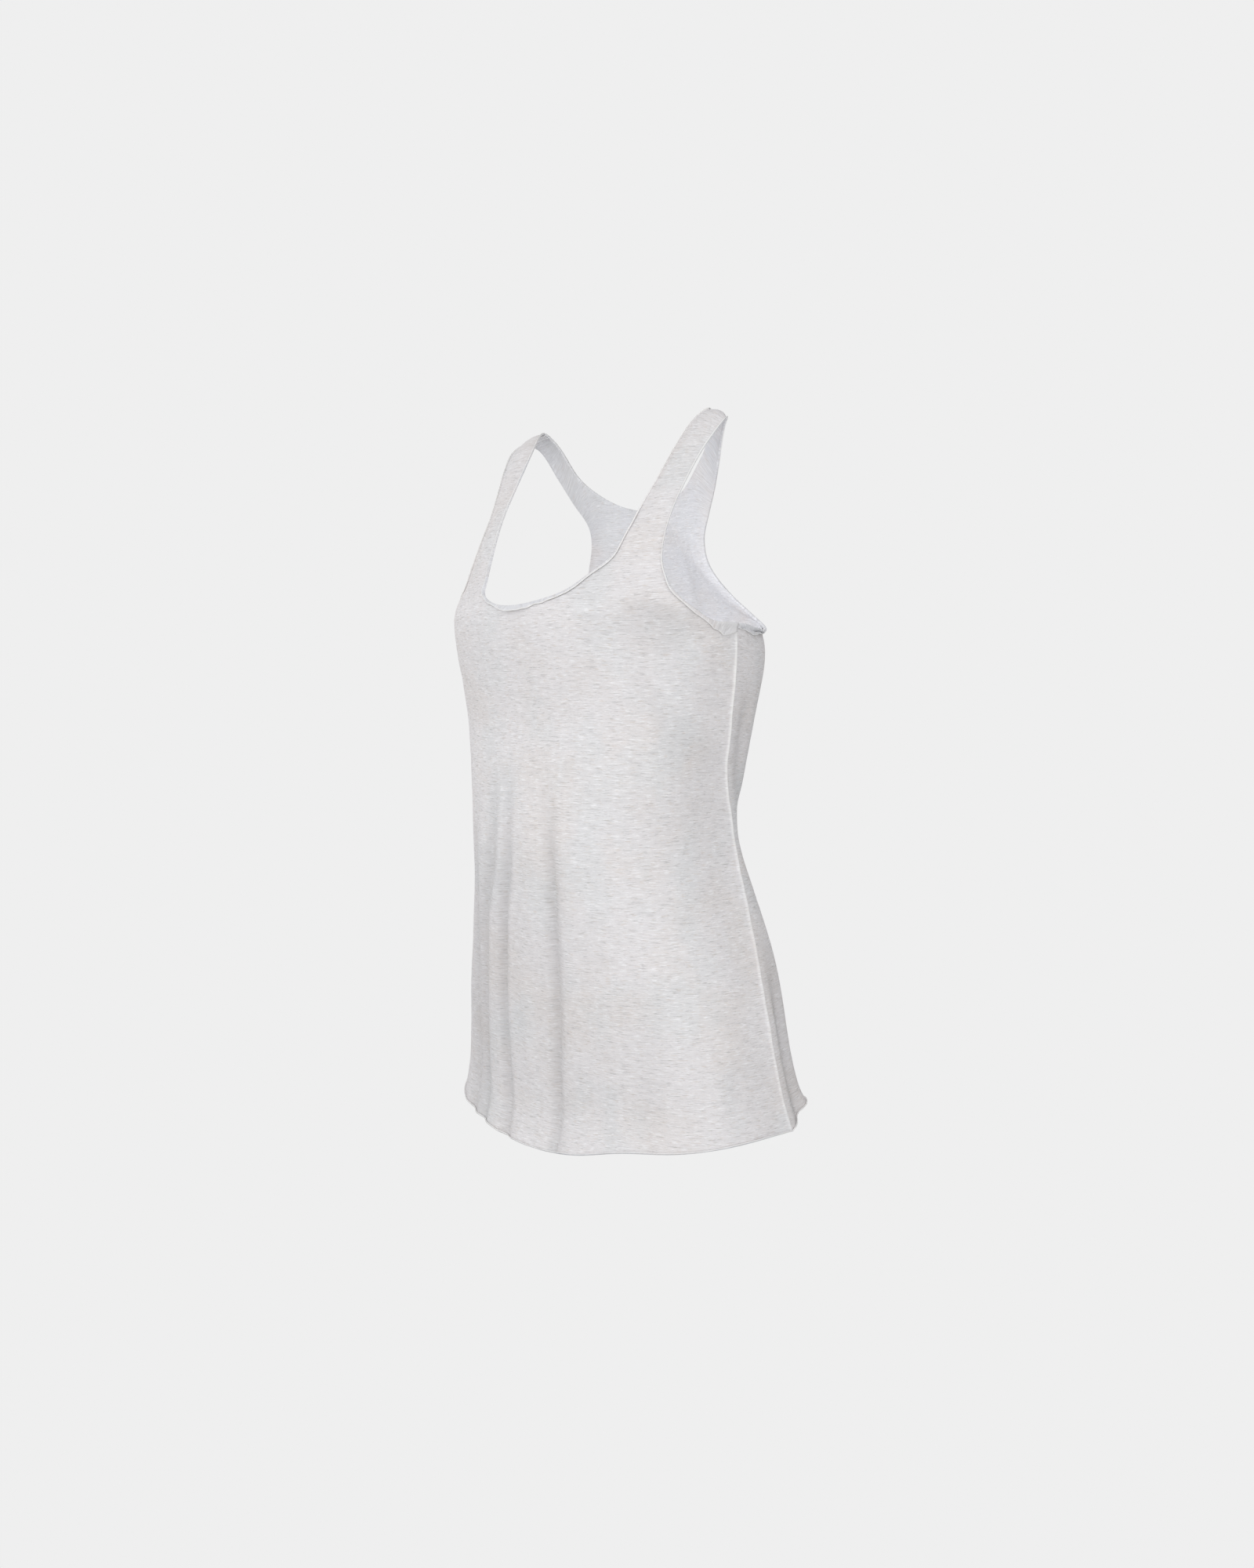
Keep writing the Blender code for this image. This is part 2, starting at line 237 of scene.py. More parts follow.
# The form of the worn garment, in millimetres, as stations of the torso, hem first. Each has the
# side seam's point, which both panels share, the centre point and superellipse exponent of each
# panel, and how far the back's hem rises between its centre and the seam.
torsoNames = ("seamX", "seamY", "seamZ", "frontY", "frontZ", "backY", "backZ",
              "frontFull", "backFull", "backLift")
torsoRows = (
    (189, 18, -636, -118, -663, 97, -638, 2.4, 2.5, 15),
    (184, 13, -611, -109, -632, 91, -611, 2.5, 2.5, 5),
    (178, 9, -578, -110, -595, 88, -578, 2.5, 2.5, 0),
    (169, 6, -530, -116, -540, 86, -530, 2.5, 2.5, 0),
    (156, 7, -480, -124, -487, 81, -480, 2.5, 2.5, 0),
    (140, 9, -427, -134, -430, 62, -426, 2.5, 2.5, 0),
    (131, 3, -374, -140, -376, 38, -374, 2.5, 2.6, 0),
    (137, -12, -322, -134, -324, 54, -322, 2.5, 2.8, 0),
    (147, -18, -268, -128, -273, 64, -268, 2.5, 2.8, 0),
    (155, -22, -222, -137, -227, 73, -222, 2.4, 2.8, 0),
    (156, -25, -196, -146, -199, 75, -198, 2.3, 2.8, 0),
)
# Stations above the side seam, up to the shoulder seam that both panels share. Each has the inner
# and outer end of a row, where on the superellipse they lie, in degrees, its exponent, and how
# high the strap is arched.
topNames = ("inX", "inY", "inZ", "outX", "outY", "outZ", "inTurn", "outTurn", "full", "crown")
topRows = {
    front: (
        (0, -147, -186, 155, -43, -193, 0, 83, 2.3, 0),
        (0, -147, -172, 152, -61, -187, 0, 76, 2.3, 0),
        (30, -141, -168, 146, -79, -175, 8, 67, 2.3, 0),
        (54, -128, -159, 138, -87, -161, 17, 60, 2.2, 0),
        (70, -111, -143, 131, -86, -148, 23, 51, 2.2, 0),
        (81, -98, -129, 125, -83, -130, 27, 46, 2.4, 0),
        (87, -86, -108, 122, -74, -106, 27, 42, 2.4, 1),
        (91, -74, -87, 122, -63, -84, 27, 40, 2.4, 1),
        (95, -58, -63, 125, -52, -63, 27, 40, 2.4, 1),
        (98, -42, -39, 130, -40, -41, 27, 40, 2.4, 1),
        (102, -25, -15, 135, -27, -22, 28, 40, 2.4, 2),
        (106, -14, -3, 135, -18, -13, 28, 40, 2.4, 3),
        (109, -5, 1, 131, -9, -8, 29, 40, 2.4, 3),
    ),
    back: (
        (0, 73, -184, 155, -8, -193, 0, 81, 2.8, 0),
        (0, 69, -168, 152, 11, -190, 0, 74, 2.8, 0),
        (0, 62, -149, 140, 33, -185, 0, 62, 2.8, 0),
        (0, 52, -126, 121, 37, -177, 0, 50, 2.8, 0),
        (0, 40, -101, 102, 34, -162, 0, 38, 2.8, 0),
        (0, 30, -79, 86, 29, -144, 0, 31, 2.8, 0),
        (20, 28, -76, 77, 25, -126, 8, 30, 2.8, 0),
        (38, 24, -70, 74, 25, -106, 14, 30, 2.8, 0),
        (57, 19, -60, 79, 25, -87, 20, 30, 2.8, 0),
        (77, 12, -44, 92, 18, -66, 24, 32, 2.6, 0),
        (95, 9, -24, 106, 9, -40, 27, 36, 2.5, 2),
        (106, 4, -7, 120, 0, -14, 29, 40, 2.4, 3),
        (109, -5, 1, 131, -9, -8, 29, 40, 2.4, 3),
    ),
}
cut = {
    "levelFade": 2.0,       # stations below the armhole over which rows begin to end level
    "neckFade": 3.0,        # stations above the neck over which rows become straight ramps
    "liftStart": 0.45,      # where across the back the lifted stretch of its hem begins
    "liftPower": 1.5,
    "rowSpacing": 3.3 * mm,
    "rowSamples": 400,      # from which the spacing is worked out
    "columns": 64,
    "seamStrip": 9.0 * mm,  # the strip beside the side seam that has finer columns,
    "widestStrip": 0.35,    # at most this share of a row
    "stripShares": (0.93, 0.80, 0.67, 0.54, 0.42, 0.31, 0.21, 0.13, 0.06, 0.0),
}
seamStation = len(torsoRows) - 1
lastStation = len(torsoRows) + len(topRows[front]) - 1
quarterTurn, nearQuarter = 90.0, 89.999     # in degrees; the second keeps a division off zero


def columnsOf(names, rows):
    # a table as one array of each named column
    return dict(zip(names, np.array(rows, dtype=float).T))


def pointsOf(table, prefix):
    # the points whose X, Y and Z columns begin with the prefix, in metres
    return np.stack([table[prefix + axis] for axis in "XYZ"], axis=-1) * mm


def stationsOf(side):
    # a panel's stations from hem to shoulder, the torso's and the upper part's joined
    torso, top = columnsOf(torsoNames, torsoRows), columnsOf(topNames, topRows[side])
    zeros = np.zeros(len(torsoRows))
    centre = np.stack([zeros, torso[side + "Y"], torso[side + "Z"]], axis=-1) * mm
    lift = np.zeros(lastStation + 1)
    if side == back:
        lift[:len(torsoRows)] = torso["backLift"] * mm
    return {
        "inner": np.vstack([centre, pointsOf(top, "in")]),
        "outer": np.vstack([pointsOf(torso, "seam"), pointsOf(top, "out")]),
        "inTurn": np.concatenate([zeros, top["inTurn"]]),
        "outTurn": np.concatenate([zeros + quarterTurn, top["outTurn"]]),
        "full": np.concatenate([torso[side + "Full"], top["full"]]),
        "crown": np.concatenate([zeros, top["crown"]]) * mm,
        "lift": lift,
    }


stations = {side: stationsOf(side) for side in (front, back)}
# the bottom of the neck: the last station whose inner end lies on the centre line
neckStation = {side: int(np.flatnonzero(stations[side]["inner"][:, 0] == 0.0)[-1])
               for side in (front, back)}


def spline(knots, at, before, after):
    # Catmull-Rom: 0.5 (2b + (c-a)u + (2a-5b+4c-d)u^2 + (3b-a-3c+d)u^3), with phantom end knots
    held = np.vstack([before, knots, after])
    at = np.clip(at, 0.0, len(knots) - 1.0)
    first = np.minimum(at.astype(int), len(knots) - 2)
    u = (at - first)[:, None]
    a, b, c, d = held[first], held[first + 1], held[first + 2], held[first + 3]
    return 0.5 * (2 * b + (c - a) * u + (2 * a - 5 * b + 4 * c - d) * u ** 2
                  + (3 * b - a - 3 * c + d) * u ** 3)


def ramp(at, start, length):
    # u^2 (3 - 2u) over a length that begins at the start
    u = np.clip((at - start) / length, 0.0, 1.0)
    return u ** 2 * (3 - 2 * u)


def eased(values, at):
    # cubic Hermite through the values, its slopes the harmonic means of the steps beside them
    steps = np.diff(values)
    before, after = steps[:-1], steps[1:]
    sameWay = before * after > 0
    total = np.where(sameWay, before + after, 1.0)
    between = np.where(sameWay, 2 * before * after / total, 0.0)
    slope = np.concatenate([[steps[0]], between, [steps[-1]]])
    first = np.minimum(at.astype(int), len(values) - 2)
    u = at - first
    blend = u ** 2 * (3 - 2 * u)
    level = values[first] * (1 - blend) + values[first + 1] * blend
    return level + slope[first] * u * (1 - u) ** 2 - slope[first + 1] * u ** 2 * (1 - u)


def cornered(knots, at, corner, pastCorner, pastEnd):
    # two splines that meet at the corner station
    below = spline(knots[:corner + 1], at, 2 * knots[0] - knots[1],
                   2 * knots[corner] - knots[corner - 1])
    above = spline(knots[corner:], at - corner, pastCorner, pastEnd)
    return np.where((at < corner)[:, None], below, above)


def rowEnds(side, at):
    # the inner and outer end of the row at each station value; past the shoulder the other panel
    # gives the next point, so that the straps run on from front to back
    own, other = stations[side], stations[otherSide[side]]
    neck = neckStation[side]
    mirrored = own["inner"][neck + 1] * (-1.0, 1.0, 1.0)
    inner = cornered(own["inner"], at, neck, mirrored, other["inner"][-2])
    outer = cornered(own["outer"], at, seamStation, other["outer"][seamStation + 1],
                     other["outer"][-2])
    return inner, outer


def strapOut(side, at):
    # out of the cloth: the row's chord crossed with the way the strap runs
    inner, outer = rowEnds(side, at)
    near = 0.25         # stations to each side
    low = sum(rowEnds(side, np.maximum(at - near, 0.0)))
    high = sum(rowEnds(side, at + near))
    past = at + near > lastStation
    beyond = sum(rowEnds(otherSide[side], np.minimum(2 * lastStation - at - near, lastStation)))
    high = np.where(past[:, None], beyond, high)
    out = np.cross(outer - inner, high - low) * -outward[side]
    return out / np.linalg.norm(out, axis=-1, keepdims=True)


def halfCloth(side, at, across):
    # Point = inner + (outer - inner) * share, where the shares of X and Y follow a superellipse
    # arc, sin^(2/full) and cos^(2/full) of the turn, and that of Z is the square of the one of X.
    own = stations[side]
    inTurn, outTurn, full, crown, lift = (
        eased(own[name], at)[:, None] for name in ("inTurn", "outTurn", "full", "crown", "lift"))
    inner, outer = rowEnds(side, at)

    def walk(turn):
        # the share of the way round at which arc has the given turn, in degrees
        ratio = (turn / (quarterTurn - np.minimum(turn, nearQuarter))) ** (2.0 / full)
        return ratio / (1.0 + ratio)

    def arc(share):
        # the two shares at a share of the way round, spread so that the points are even
        rise, fall = share ** (full / 2), np.maximum(1 - share, 0.0) ** (full / 2)
        turn = 0.5 * math.pi * rise / (rise + fall)
        return np.sin(turn) ** (2.0 / full), np.clip(np.cos(turn), 0.0, 1.0) ** (2.0 / full)

    start, stop = walk(inTurn), np.where(outTurn >= quarterTurn, 1.0, walk(outTurn))
    sine, cosine = arc(start + (stop - start) * across)
    (sineIn, cosineIn), (sineOut, cosineOut) = arc(start), arc(stop)
    alongX = (sine - sineIn) / (sineOut - sineIn)
    alongY = (cosineIn - cosine) / (cosineIn - cosineOut)
    bowed = alongX ** 2
    levelled = bowed * (3 - 2 * alongX)
    level = ramp(at, seamStation - cut["levelFade"], cut["levelFade"])[:, None]
    alongZ = bowed + (levelled - bowed) * level
    alongZ = alongZ + (alongX - alongZ) * ramp(at, neckStation[side], cut["neckFade"])[:, None]

    grid = inner[:, None] + (outer - inner)[:, None] * np.stack([alongX, alongY, alongZ], axis=-1)
    arch = crown * 4 * across * (1 - across)
    grid += strapOut(side, at)[:, None] * arch[..., None]
    raised = np.clip((across - cut["liftStart"]) / (1 - cut["liftStart"]), 0.0, 1.0)
    grid[..., 2] += lift * np.sin(math.pi * raised) ** cut["liftPower"]
    return grid


def unit(vectors):
    # the same directions, one long
    return vectors / np.maximum(np.linalg.norm(vectors, axis=-1, keepdims=True), 1e-12)


def runs(points):
    # how far along its line, or along its row of a grid, each point lies
    legs = np.linalg.norm(np.diff(points, axis=-2), axis=-1)
    return np.concatenate([np.zeros_like(legs[..., :1]), np.cumsum(legs, axis=-1)], axis=-1)


def outNormals(side, grid):
    # the cross product of the grid's two directions, with no X part on the centre line
    normal = np.cross(np.gradient(grid, axis=1), np.gradient(grid, axis=0)) * -outward[side]
    normal[:, 0, 0] *= grid[:, 0, 0] > 0.5 * mm
    return unit(normal)


def evenRows(side):
    # station values whose rows are evenly far apart, with rows on the seam and neck stations
    marks = sorted({0, seamStation, neckStation[side], lastStation})
    parts = []
    for low, high in zip(marks[:-1], marks[1:]):
        fine = np.linspace(low, high, cut["rowSamples"])
        inner, outer = rowEnds(side, fine)
        steps = 0.5 * (np.linalg.norm(np.diff(inner, axis=0), axis=1)
                       + np.linalg.norm(np.diff(outer, axis=0), axis=1))
        run = np.concatenate([[0.0], np.cumsum(steps)])
        count = max(int(round(run[-1] / cut["rowSpacing"])), 2)
        parts.append(np.interp(np.linspace(0, run[-1], count + 1), run, fine)[:-1])
    return np.concatenate(parts + [[lastStation]])


def columnShares(side, at):
    # even shares, then a strip of finer ones beside the side seam and armhole
    even = np.linspace(0.0, 1.0, 41)
    coarse = halfCloth(side, at, np.repeat(even[None], len(at), axis=0))
    width = np.linalg.norm(np.diff(coarse, axis=1), axis=-1).sum(axis=1)
    strip = np.minimum(cut["seamStrip"] / width, cut["widestStrip"])[:, None]
    inside = np.linspace(0.0, 1.0, cut["columns"])[None] * (1 - strip)
    fine = 1 - strip * np.array(cut["stripShares"])[None]
    return np.concatenate([inside, fine], axis=1)


waveWays = np.array([(0.31, 0.87, 0.38), (-0.72, 0.15, 0.68),
                     (0.55, -0.62, 0.56), (0.12, 0.35, -0.93)])
wavePhases = np.array([0.4, 2.1, 3.9, 5.2])
waveRates = np.array([1.0, 1.37, 0.81, 1.73])


def waves(points, pitch, seed=0.0):
    # the mean of four sines of the place, each along its own way and at its own pitch
    reach = points @ waveWays.T * (2 * math.pi / pitch) * waveRates
    return np.sin(reach + wavePhases * (1 + seed)).mean(axis=-1)


# Each fold runs along a smooth path, whose points are places across and up. Its depth, which is
# negative for a trough, and its half width are in millimetres too. The fades are the shares of
# the path over which it rises and dies away.
foldNames = ("depth", "halfWidth", "topFade", "lowFade")
# two wide troughs have a narrow core, which shares the lower course of its trough
leftCourse = ((41, -380), (36, -451), (25, -550), (19, -620), (24, -690))
middleCourse = ((-13, -385), (-33, -458), (-51, -551), (-50, -635), (-37, -690))
folds = {
    front: (
        (((33, -295), *leftCourse), -4.2, 11, 0.35, 0.0),
        (((35, -320), *leftCourse), -1.4, 4, 0.30, 0.25),
        (((-18, -295), *middleCourse), -4.6, 11, 0.30, 0.0),
        (((-16, -340), *middleCourse), -1.4, 4, 0.30, 0.35),
        (((-43, -290), (-38, -387), (-69, -463), (-89, -560), (-91, -622), (-84, -690)),
         -4.6, 13, 0.30, 0.0),
        (((-6, -300), (14, -383), (2, -454), (-14, -545), (-16, -690)), 1.5, 14, 0.35, 0.0),
        (((63, -300), (62, -380), (58, -448), (46, -537), (42, -690)), 1.3, 14, 0.40, 0.0),
        (((-62, -320), (-84, -420), (-110, -564), (-112, -690)), -3.8, 16, 0.35, 0.0),
        (((92, -215), (112, -272), (126, -335), (134, -400)), 1.6, 12, 0.30, 0.4),
        (((104, -205), (128, -268), (142, -345)), -1.2, 10, 0.30, 0.4),
        (((66, -235), (62, -320)), 1.2, 14, 0.45, 0.5),
        (((171, -560), (174, -625)), -1.6, 6, 0.40, 0.3),
        (((-94, -215), (-112, -280), (-131, -395)), 0.9, 14, 0.30, 0.4),
        (((-106, -210), (-128, -270), (-143, -340)), -1.4, 10, 0.30, 0.4),
        (((112, -470), (121, -690)), -0.8, 17, 0.45, 0.0),
        (((80, -330), (98, -336), (113, -334)), 1.0, 7, 0.45, 0.5),
        (((106, -176), (130, -196), (152, -208)), -3.2, 26, 0.35, 0.3),
        (((92, -160), (104, -186), (102, -215)), -1.2, 40, 0.40, 0.5),
        (((108, -166), (138, -184), (152, -190)), -2.3, 14, 0.40, 0.4),
        (((-110, -172), (-136, -186), (-151, -191)), -1.4, 12, 0.45, 0.4),
    ),
    back: (
        (((-30, -400), (-34, -520), (-36, -680)), -4.5, 16, 0.40, 0.0),
        (((34, -380), (38, -520), (41, -680)), -4.0, 16, 0.45, 0.0),
        (((3, -330), (4, -680)), 2.0, 18, 0.40, 0.0),
        (((118, -285), (82, -296), (40, -330)), 2.4, 13, 0.40, 0.5),
        (((-118, -300), (-80, -312), (-36, -350)), 2.2, 14, 0.40, 0.5),
        (((108, -315), (72, -322), (30, -352)), -2.0, 12, 0.40, 0.5),
        (((-106, -330), (-70, -340), (-28, -370)), -1.8, 12, 0.40, 0.6),
        (((84, -430), (90, -560), (98, -680)), -2.8, 13, 0.40, 0.0),
        (((-80, -440), (-88, -560), (-92, -680)), -2.6, 14, 0.40, 0.0),
        (((44, -95), (34, -170), (16, -250)), -1.8, 12, 0.40, 0.5),
        (((-46, -98), (-36, -165), (-20, -240)), -1.6, 12, 0.40, 0.5),
    ),
}
# The same near the side seams, where "across" is the distance from the seam, left side positive.
seamFolds = {
    front: (
        (((-26, -440), (-30, -540), (-24, -690)), -2.4, 14, 0.45, 0.0),
    ),
    back: (
        (((20, -455), (25, -560), (20, -690)), -6.0, 17, 0.45, 0.0),
        (((-22, -440), (-27, -550), (-21, -690)), -5.0, 18, 0.45, 0.0),
        (((26, -225), (20, -300), (24, -370)), -2.6, 15, 0.40, 0.4),
        (((-24, -230), (-19, -310), (-25, -380)), -2.4, 15, 0.40, 0.4),
    ),
}


def foldDepth(places, rows, widen=1.0):
    # the sum of depth * cos^2 across each fold * a smooth rise and fall along it
    total = np.zeros(places.shape[:-1])
    for path, *shape in rows:
        fold = dict(zip(foldNames, shape))
        knots = np.array(path, dtype=float) * mm
        at = np.linspace(0, len(knots) - 1, 5 * (len(knots) - 1) + 1)
        line = spline(knots, at, 2 * knots[0] - knots[1], 2 * knots[-1] - knots[-2])
        legs = np.linalg.norm(np.diff(line, axis=0), axis=1)
        run = np.concatenate([[0.0], np.cumsum(legs)])
        aside, along = np.full(total.shape, np.inf), np.zeros(total.shape)
        for i, leg in enumerate(legs):
            way = (line[i + 1] - line[i]) / leg
            share = np.clip((places - line[i]) @ way, 0.0, leg)
            apart = np.linalg.norm(places - line[i] - share[..., None] * way, axis=-1)
            along = np.where(apart < aside, run[i] + share, along)
            aside = np.minimum(apart, aside)
        along /= run[-1]
        aside = np.clip(aside / (fold["halfWidth"] * widen * mm), 0.0, 1.0)
        section = 0.5 + 0.5 * np.cos(math.pi * aside)
        fade = (np.clip(along / fold["topFade"], 0.0, 1.0)
                * np.clip((1 - along) / max(fold["lowFade"], mm), 0.0, 1.0))
        total += fold["depth"] * mm * section * fade ** 2 * (3 - 2 * fade)
    return total


# the painted shade in the folds' troughs: how much wider it is than they are, and how deep a deep one
# is
paintedShades = {"widen": 1.25, "deep": 3.5 * mm}

roll = {
    # at its low end and at its top: the radius, how far round it goes, in degrees, and the width
    # of the flap that then lies on the cloth; between which shares of the edge's length they change
    "neck": {"radius": (0.8 * mm, 0.7 * mm), "turn": (186.0, 120.0), "flap": (1.4 * mm, 0.3 * mm),
             "change": (0.30, 0.75)},
    "arm": {"radius": (1.0 * mm, 0.8 * mm), "turn": (186.0, 120.0), "flap": (1.3 * mm, 0.3 * mm),
            "change": (0.18, 0.50)},
    "hem": {"radius": (0.55 * mm, 0.55 * mm), "turn": (172.0, 172.0), "flap": (0.6 * mm, 0.6 * mm),
            "change": (0.0, 1.0)},
    "steps": 9,
    "flapSteps": 7,
    "tighten": 0.10,            # how much smaller the radius is at the end of the bend
    "uneven": 0.32,             # how much the radius, the turn and the flap vary along the edge,
    "turnUneven": 0.02,
    "flapUneven": 0.90,
    "pitch": 46 * mm,           # and over what lengths
    "turnPitch": 78.2 * mm,
    "flapPitch": 36.8 * mm,
    "pullReach": 14 * mm,       # the cloth is drawn in over this far, so the roll ends on the edge
    "riseReach": 32 * mm,       # and it rises to the armhole's edge over this far
    "clear": 1.6 * mm,          # the flap lies this far off the cloth
    # the width of the painted highlight at a curl's cut edge
    "highlightWidth": 0.8 * mm,
    "frameBell": 5.0,           # rows over which the roll's directions are averaged
    # the row or column inside each edge that tells which way is out of the cloth
    "inside": {"hem": 3, "arm": -8, "neck": 5},
    # how many rows and columns beside the edge the flap may lie on
    "underHem": 6,
    "underArm": (10, 34),
    "underNeck": (6, 12),
}
# wider stretches of the turned edge: where along it the widest point lies, how far its width
# spreads to each side, and how wide the flap becomes there
lobeUneven, lobePitch = 0.3, 9 * mm
lobes = {
    (front, "neck"): (26 * mm, 40 * mm, 3.4 * mm),
    (front, "arm"): (13 * mm, 16 * mm, 7.5 * mm),
    (back, "arm"): (26 * mm, 17 * mm, 6.0 * mm),
}
# how far an edge stands out beyond the solid's, or back from it: the place along it, the spread
# and the height
rises = {
    (front, "arm"): ((0 * mm, 26 * mm, 9.5 * mm), (52 * mm, 30 * mm, 5.5 * mm)),
    (back, "arm"): ((0 * mm, 24 * mm, 9.8 * mm), (62 * mm, 20 * mm, -6.0 * mm)),
    (back, "neck"): ((125 * mm, 18 * mm, 3.0 * mm),),
}
# where the hem is cut higher than the solid's: place across, spread, and the heights on the left
# and the right half; and how far up from the hem the cloth moves with it
hemLifts = {
    front: (100 * mm, 46 * mm, {1.0: 7.0 * mm, -1.0: 2.0 * mm}),
    back: (158 * mm, 17 * mm, {1.0: 7.0 * mm, -1.0: 5.0 * mm}),
}
hemLiftReach, centreReach = 80 * mm, 40 * mm
sideSeam = {
    "ridge": 0.9 * mm,          # how far the front's edge stands proud of the seam
    "ridgeAway": 0.3 * mm,
    "ridgeWidth": 1.3 * mm,
    "ridgeUneven": 0.4,
    "ridgePitch": 30 * mm,
    "groove": 0.15 * mm,        # how far the back's edge sinks beside it
    "grooveWidth": 2.4 * mm,
    "pale": 0.62,               # how strong the painted highlight on the front's edge is at the armhole, how much less towards the hem, how far down that begins and over what length, and how much wider the painted highlight is than the ridge
    "paler": 0.65,              # how much less towards the hem,
    "paleFade": (0.26, 0.22),   # how far down that begins and over what length,
    "paleWidth": 1.1,           # and how much wider the pale line is than the ridge
    "turnPale": {front: 1.0, back: 0.5},    # how strong the painted highlight on the turned edge begins
    "turnRadius": 0.35 * mm,
    "allowance": 7.0 * mm,      # the turned-in strip
    "wander": 0.7 * mm,         # the seam's small sideways wander
    "wanderPitch": 62 * mm,
    "wanderReach": 12 * mm,
    "pinch": {front: 4.0 * mm, back: 3.0 * mm},     # the cloth falls away beside the seam, so
    "pinchReach": 16 * mm,                          # that it is a corner,
    "pinchFade": 55 * mm,                           # and comes back further off
    "seamRows": 3,              # rows below the armhole over which the ridge begins,
    "pinchRows": 14,            # and the pinch
    "bends": 6,                 # steps of the turned edge,
    "flatten": 0.35,            # how flat its bend is,
    "stripColumns": 4,          # and columns of the strip that runs back from it
    "ripple": 0.35 * mm,
    "ripplePitch": 21 * mm,
}
shoulderSeam = {"turnRadius": 0.5 * mm, "allowance": 6.0 * mm, "bends": 5, "flatten": 0.3,
                "stripColumns": 3}
# small unevenness of the whole cloth, which fades out towards the side seams
uneven = {"depth": 0.5 * mm, "pitch": 120 * mm, "seamReach": 30 * mm}
strapStation = {front: 17, back: 18}    # where the cloth places begin to follow the strap,
strapFade = 3.0                         # and over how many stations
even = {
    "bell": 6,                  # in rows: the width of the bell of weights,
    "rows": 26,                 # how far from its station it works,
    "scoopRows": 10,            # and how far below the neck the inner edge begins to be kept
    "giveBack": 55 * mm,        # how far in from an edge its cloth is given back its move
}
gap = 0.3 * mm                  # left between the two panels
wall = 0.9 * mm                 # thickness of the jersey
weldReach = 0.02 * mm
# where each panel's cloth is cut from, in metres, so that its flecks are its own
clothShift = {front: (0.0, 0.0), back: (1.7, 0.45)}


def evened(side, at, grid, station):
    # Near the given station each column is averaged along its length with a bell of weights.
    # What that moves an edge by is given back to the cloth beside it, so the edges stay.
    rows = np.arange(len(at))
    corner = int(np.argmin(np.abs(at - station)))
    scoop = int(np.argmin(np.abs(at - neckStation[side])))
    reach = np.arange(-3 * even["bell"], 3 * even["bell"] + 1)
    weight = np.exp(-0.5 * (reach / even["bell"]) ** 2)
    mean = sum(w * grid[np.clip(rows + k, 0, len(rows) - 1)] for w, k in zip(weight, reach))
    mean = mean / weight.sum()
    fromIn = runs(grid)
    fromOut = fromIn[:, -1:] - fromIn
    keepOut = np.clip(1 - fromOut / even["giveBack"], 0.0, 1.0) ** 2
    keepIn = np.clip(1 - fromIn / even["giveBack"], 0.0, 1.0) ** 2
    keepIn *= ramp(rows, scoop - even["scoopRows"], even["scoopRows"])[:, None]
    mean = mean + (grid - mean)[:, -1:] * keepOut[..., None]
    mean = mean + (grid - mean)[:, :1] * keepIn[..., None]
    blend = 0.5 + 0.5 * np.cos(math.pi * np.clip(np.abs(rows - corner) / even["rows"], 0.0, 1.0))
    mean[:, 0, 0] = grid[:, 0, 0]
    return grid + (mean - grid) * blend[:, None, None]


def rawGrid(side):
    # half a panel as a grid of rows and columns, with its rows' station values and its normals
    at = evenRows(side)
    grid = evened(side, at, halfCloth(side, at, columnShares(side, at)), seamStation)
    if side == back:
        grid = evened(side, at, grid, neckStation[side])
    return {"at": at, "grid": grid, "normal": outNormals(side, grid)}


raw = {side: rawGrid(side) for side in (front, back)}
print("form worked out:", {side: raw[side]["grid"].shape[:2] for side in raw})
seamRow = {side: int(np.argmin(np.abs(raw[side]["at"] - seamStation))) for side in raw}
neckRow = {side: int(np.argmin(np.abs(raw[side]["at"] - neckStation[side]))) for side in raw}


def edgeLine(side, kind):
    # an open edge's points, outward normals, and the way out of the cloth along its surface
    grid, normals, other = raw[side]["grid"], raw[side]["normal"], raw[otherSide[side]]
    mirrorX = np.array([-1.0, 1.0, 1.0])
    reach = np.arange(1, int(3 * roll["frameBell"]) + 1)
    inward = roll["inside"][kind]
    if kind == "hem":
        line, normal, inside = grid[0], normals[0], grid[inward]
        before, after = line[1] * mirrorX, other["grid"][0, -2]
        early, late = normal[reach] * mirrorX, other["normal"][0, -1 - reach]
    elif kind == "arm":
        row, otherRow = seamRow[side], seamRow[otherSide[side]]
        line, normal, inside = grid[row:, -1], normals[row:, -1], grid[row:, inward]
        before, after = other["grid"][otherRow + 1, -1], other["grid"][-2, -1]
        early, late = other["normal"][otherRow + reach, -1], other["normal"][-1 - reach, -1]
    else:
        row = neckRow[side]
        line, normal, inside = grid[row:, 0], normals[row:, 0], grid[row:, inward]
        before, after = line[1] * mirrorX, other["grid"][-2, 0]
        early, late = normal[reach] * mirrorX, other["normal"][-1 - reach, 0]
    # averaged along the edge, with what lies beyond its two ends
    held = np.vstack([early[::-1], normal, late])
    bell = np.exp(-0.5 * (np.arange(-len(reach), len(reach) + 1) / roll["frameBell"]) ** 2)
    facing = unit(sum(w * held[k:k + len(line)] for k, w in enumerate(bell)))
    held = np.vstack([before, line, after])
    along = unit(held[2:] - held[:-2])
    outWay = unit(np.cross(facing, along))
    outWay *= np.where(np.median(((line - inside) * outWay).sum(axis=-1)) < 0, -1.0, 1.0)
    normal = unit(np.cross(along, outWay))
    normal *= np.sign((normal * facing).sum(axis=-1))[:, None]
    run = runs(line)
    look = roll[kind]
    change = ramp(run / run[-1], look["change"][0], look["change"][1] - look["change"][0])
    shape = {name: look[name][0] + (look[name][1] - look[name][0]) * change
             for name in ("radius", "turn", "flap")}
    return {"line": line, "normal": normal, "out": outWay, "run": run, **shape}


edgeLines = {(side, kind): edgeLine(side, kind) for side in raw for kind in ("hem", "arm", "neck")}


